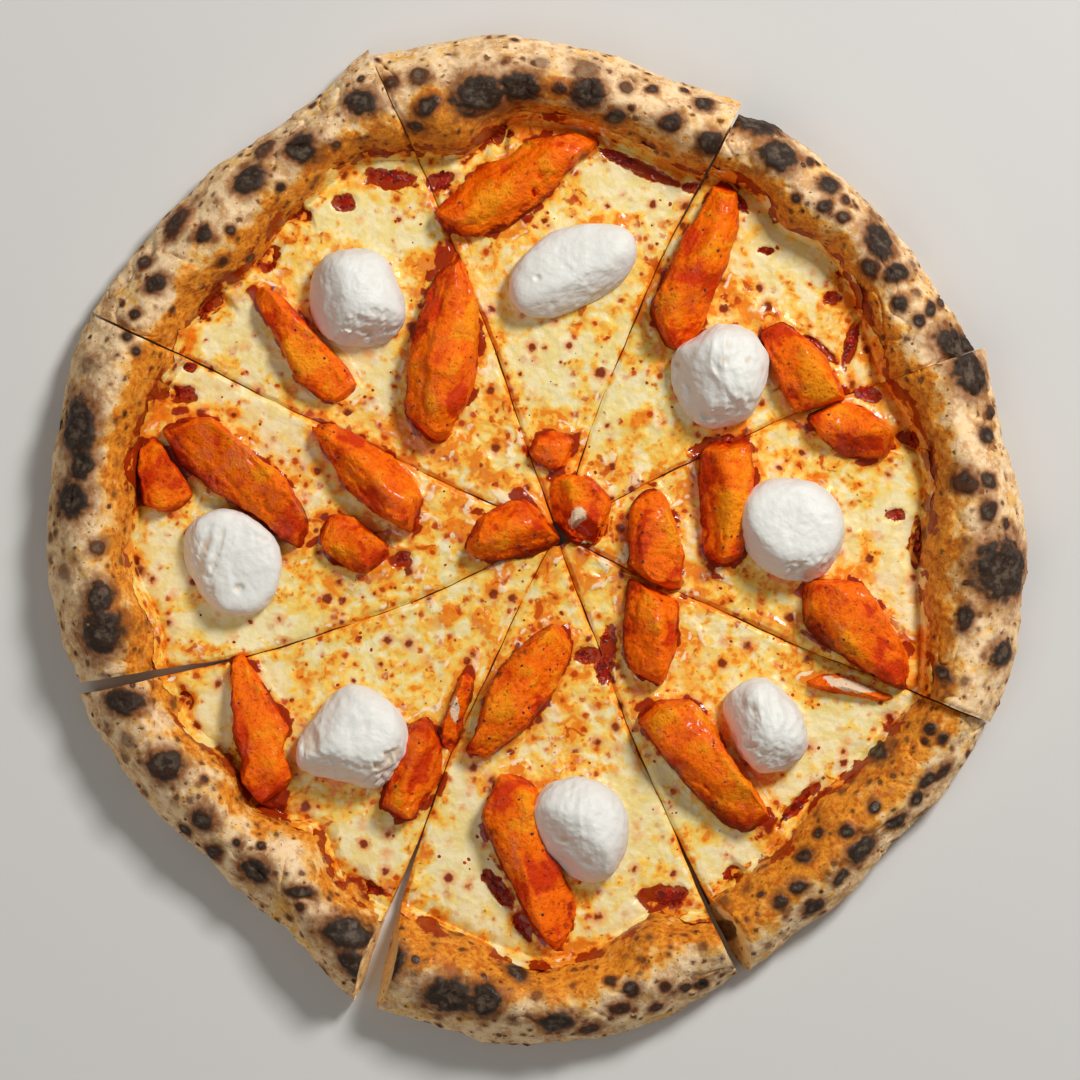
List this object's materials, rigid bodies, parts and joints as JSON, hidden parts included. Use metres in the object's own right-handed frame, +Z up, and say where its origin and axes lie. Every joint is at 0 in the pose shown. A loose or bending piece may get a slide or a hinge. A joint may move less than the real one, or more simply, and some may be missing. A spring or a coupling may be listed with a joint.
{
  "type": "buffalo chicken pizza",
  "caption": "Round wood-fired pizza cut into wedge slices that still lie together, with a puffed charred rim, melted cheese, spicy chicken strips and soft white cream dollops.",
  "frame": {"origin": "middle of the pizza's bounding box, on the surface it rests on", "axes": "+Z up from the table; +Y along the slightly longer diameter, towards the side of the picture's top edge; +X to the picture's right"},
  "size_m": [0.327, 0.3362, 0.0273],
  "materials": {
    "baked_dough": "floury baked crust, pale with brown and black blisters, oil-stained orange on the inner slope",
    "melted_cheese": "melted mozzarella, cream yellow with orange oil and small brown spots, glossy",
    "tomato_sauce": "dark red cooked sauce, wet",
    "buffalo_chicken": "orange hot-sauce glaze with dark edges and pepper specks, glossy",
    "whipped_cream_cheese": "whipped, soft white with fine ridges"
  },
  "bodies": {
    "root": {"dough_1": "baked_dough", "dough_2": "baked_dough", "dough_3": "baked_dough", "dough_4": "baked_dough", "dough_5": "baked_dough", "dough_6": "baked_dough", "dough_7": "baked_dough", "dough_8": "baked_dough", "cheese_1": "melted_cheese", "cheese_2": "melted_cheese", "cheese_3": "melted_cheese", "cheese_4": "melted_cheese", "cheese_5": "melted_cheese", "cheese_6": "melted_cheese", "cheese_7": "melted_cheese", "cheese_8": "melted_cheese", "chicken_01": "buffalo_chicken", "chicken_02": "buffalo_chicken", "chicken_03": "buffalo_chicken", "chicken_04": "buffalo_chicken", "chicken_05": "buffalo_chicken", "chicken_06": "buffalo_chicken", "chicken_07": "buffalo_chicken", "chicken_08": "buffalo_chicken", "chicken_09": "buffalo_chicken", "chicken_10": "buffalo_chicken", "chicken_11": "buffalo_chicken", "chicken_12": "buffalo_chicken", "chicken_13": "buffalo_chicken", "chicken_14": "buffalo_chicken", "chicken_15": "buffalo_chicken", "chicken_16": "buffalo_chicken", "chicken_17": "buffalo_chicken", "chicken_18": "buffalo_chicken", "chicken_19": "buffalo_chicken", "chicken_20": "buffalo_chicken", "chicken_21": "buffalo_chicken", "chicken_22": "buffalo_chicken", "chicken_23": "buffalo_chicken", "chicken_24": "buffalo_chicken", "cream_1": "whipped_cream_cheese", "cream_2": "whipped_cream_cheese", "cream_3": "whipped_cream_cheese", "cream_4": "whipped_cream_cheese", "cream_5": "whipped_cream_cheese", "cream_6": "whipped_cream_cheese", "cream_7": "whipped_cream_cheese", "cream_8": "whipped_cream_cheese"}
  },
  "joints": []
}
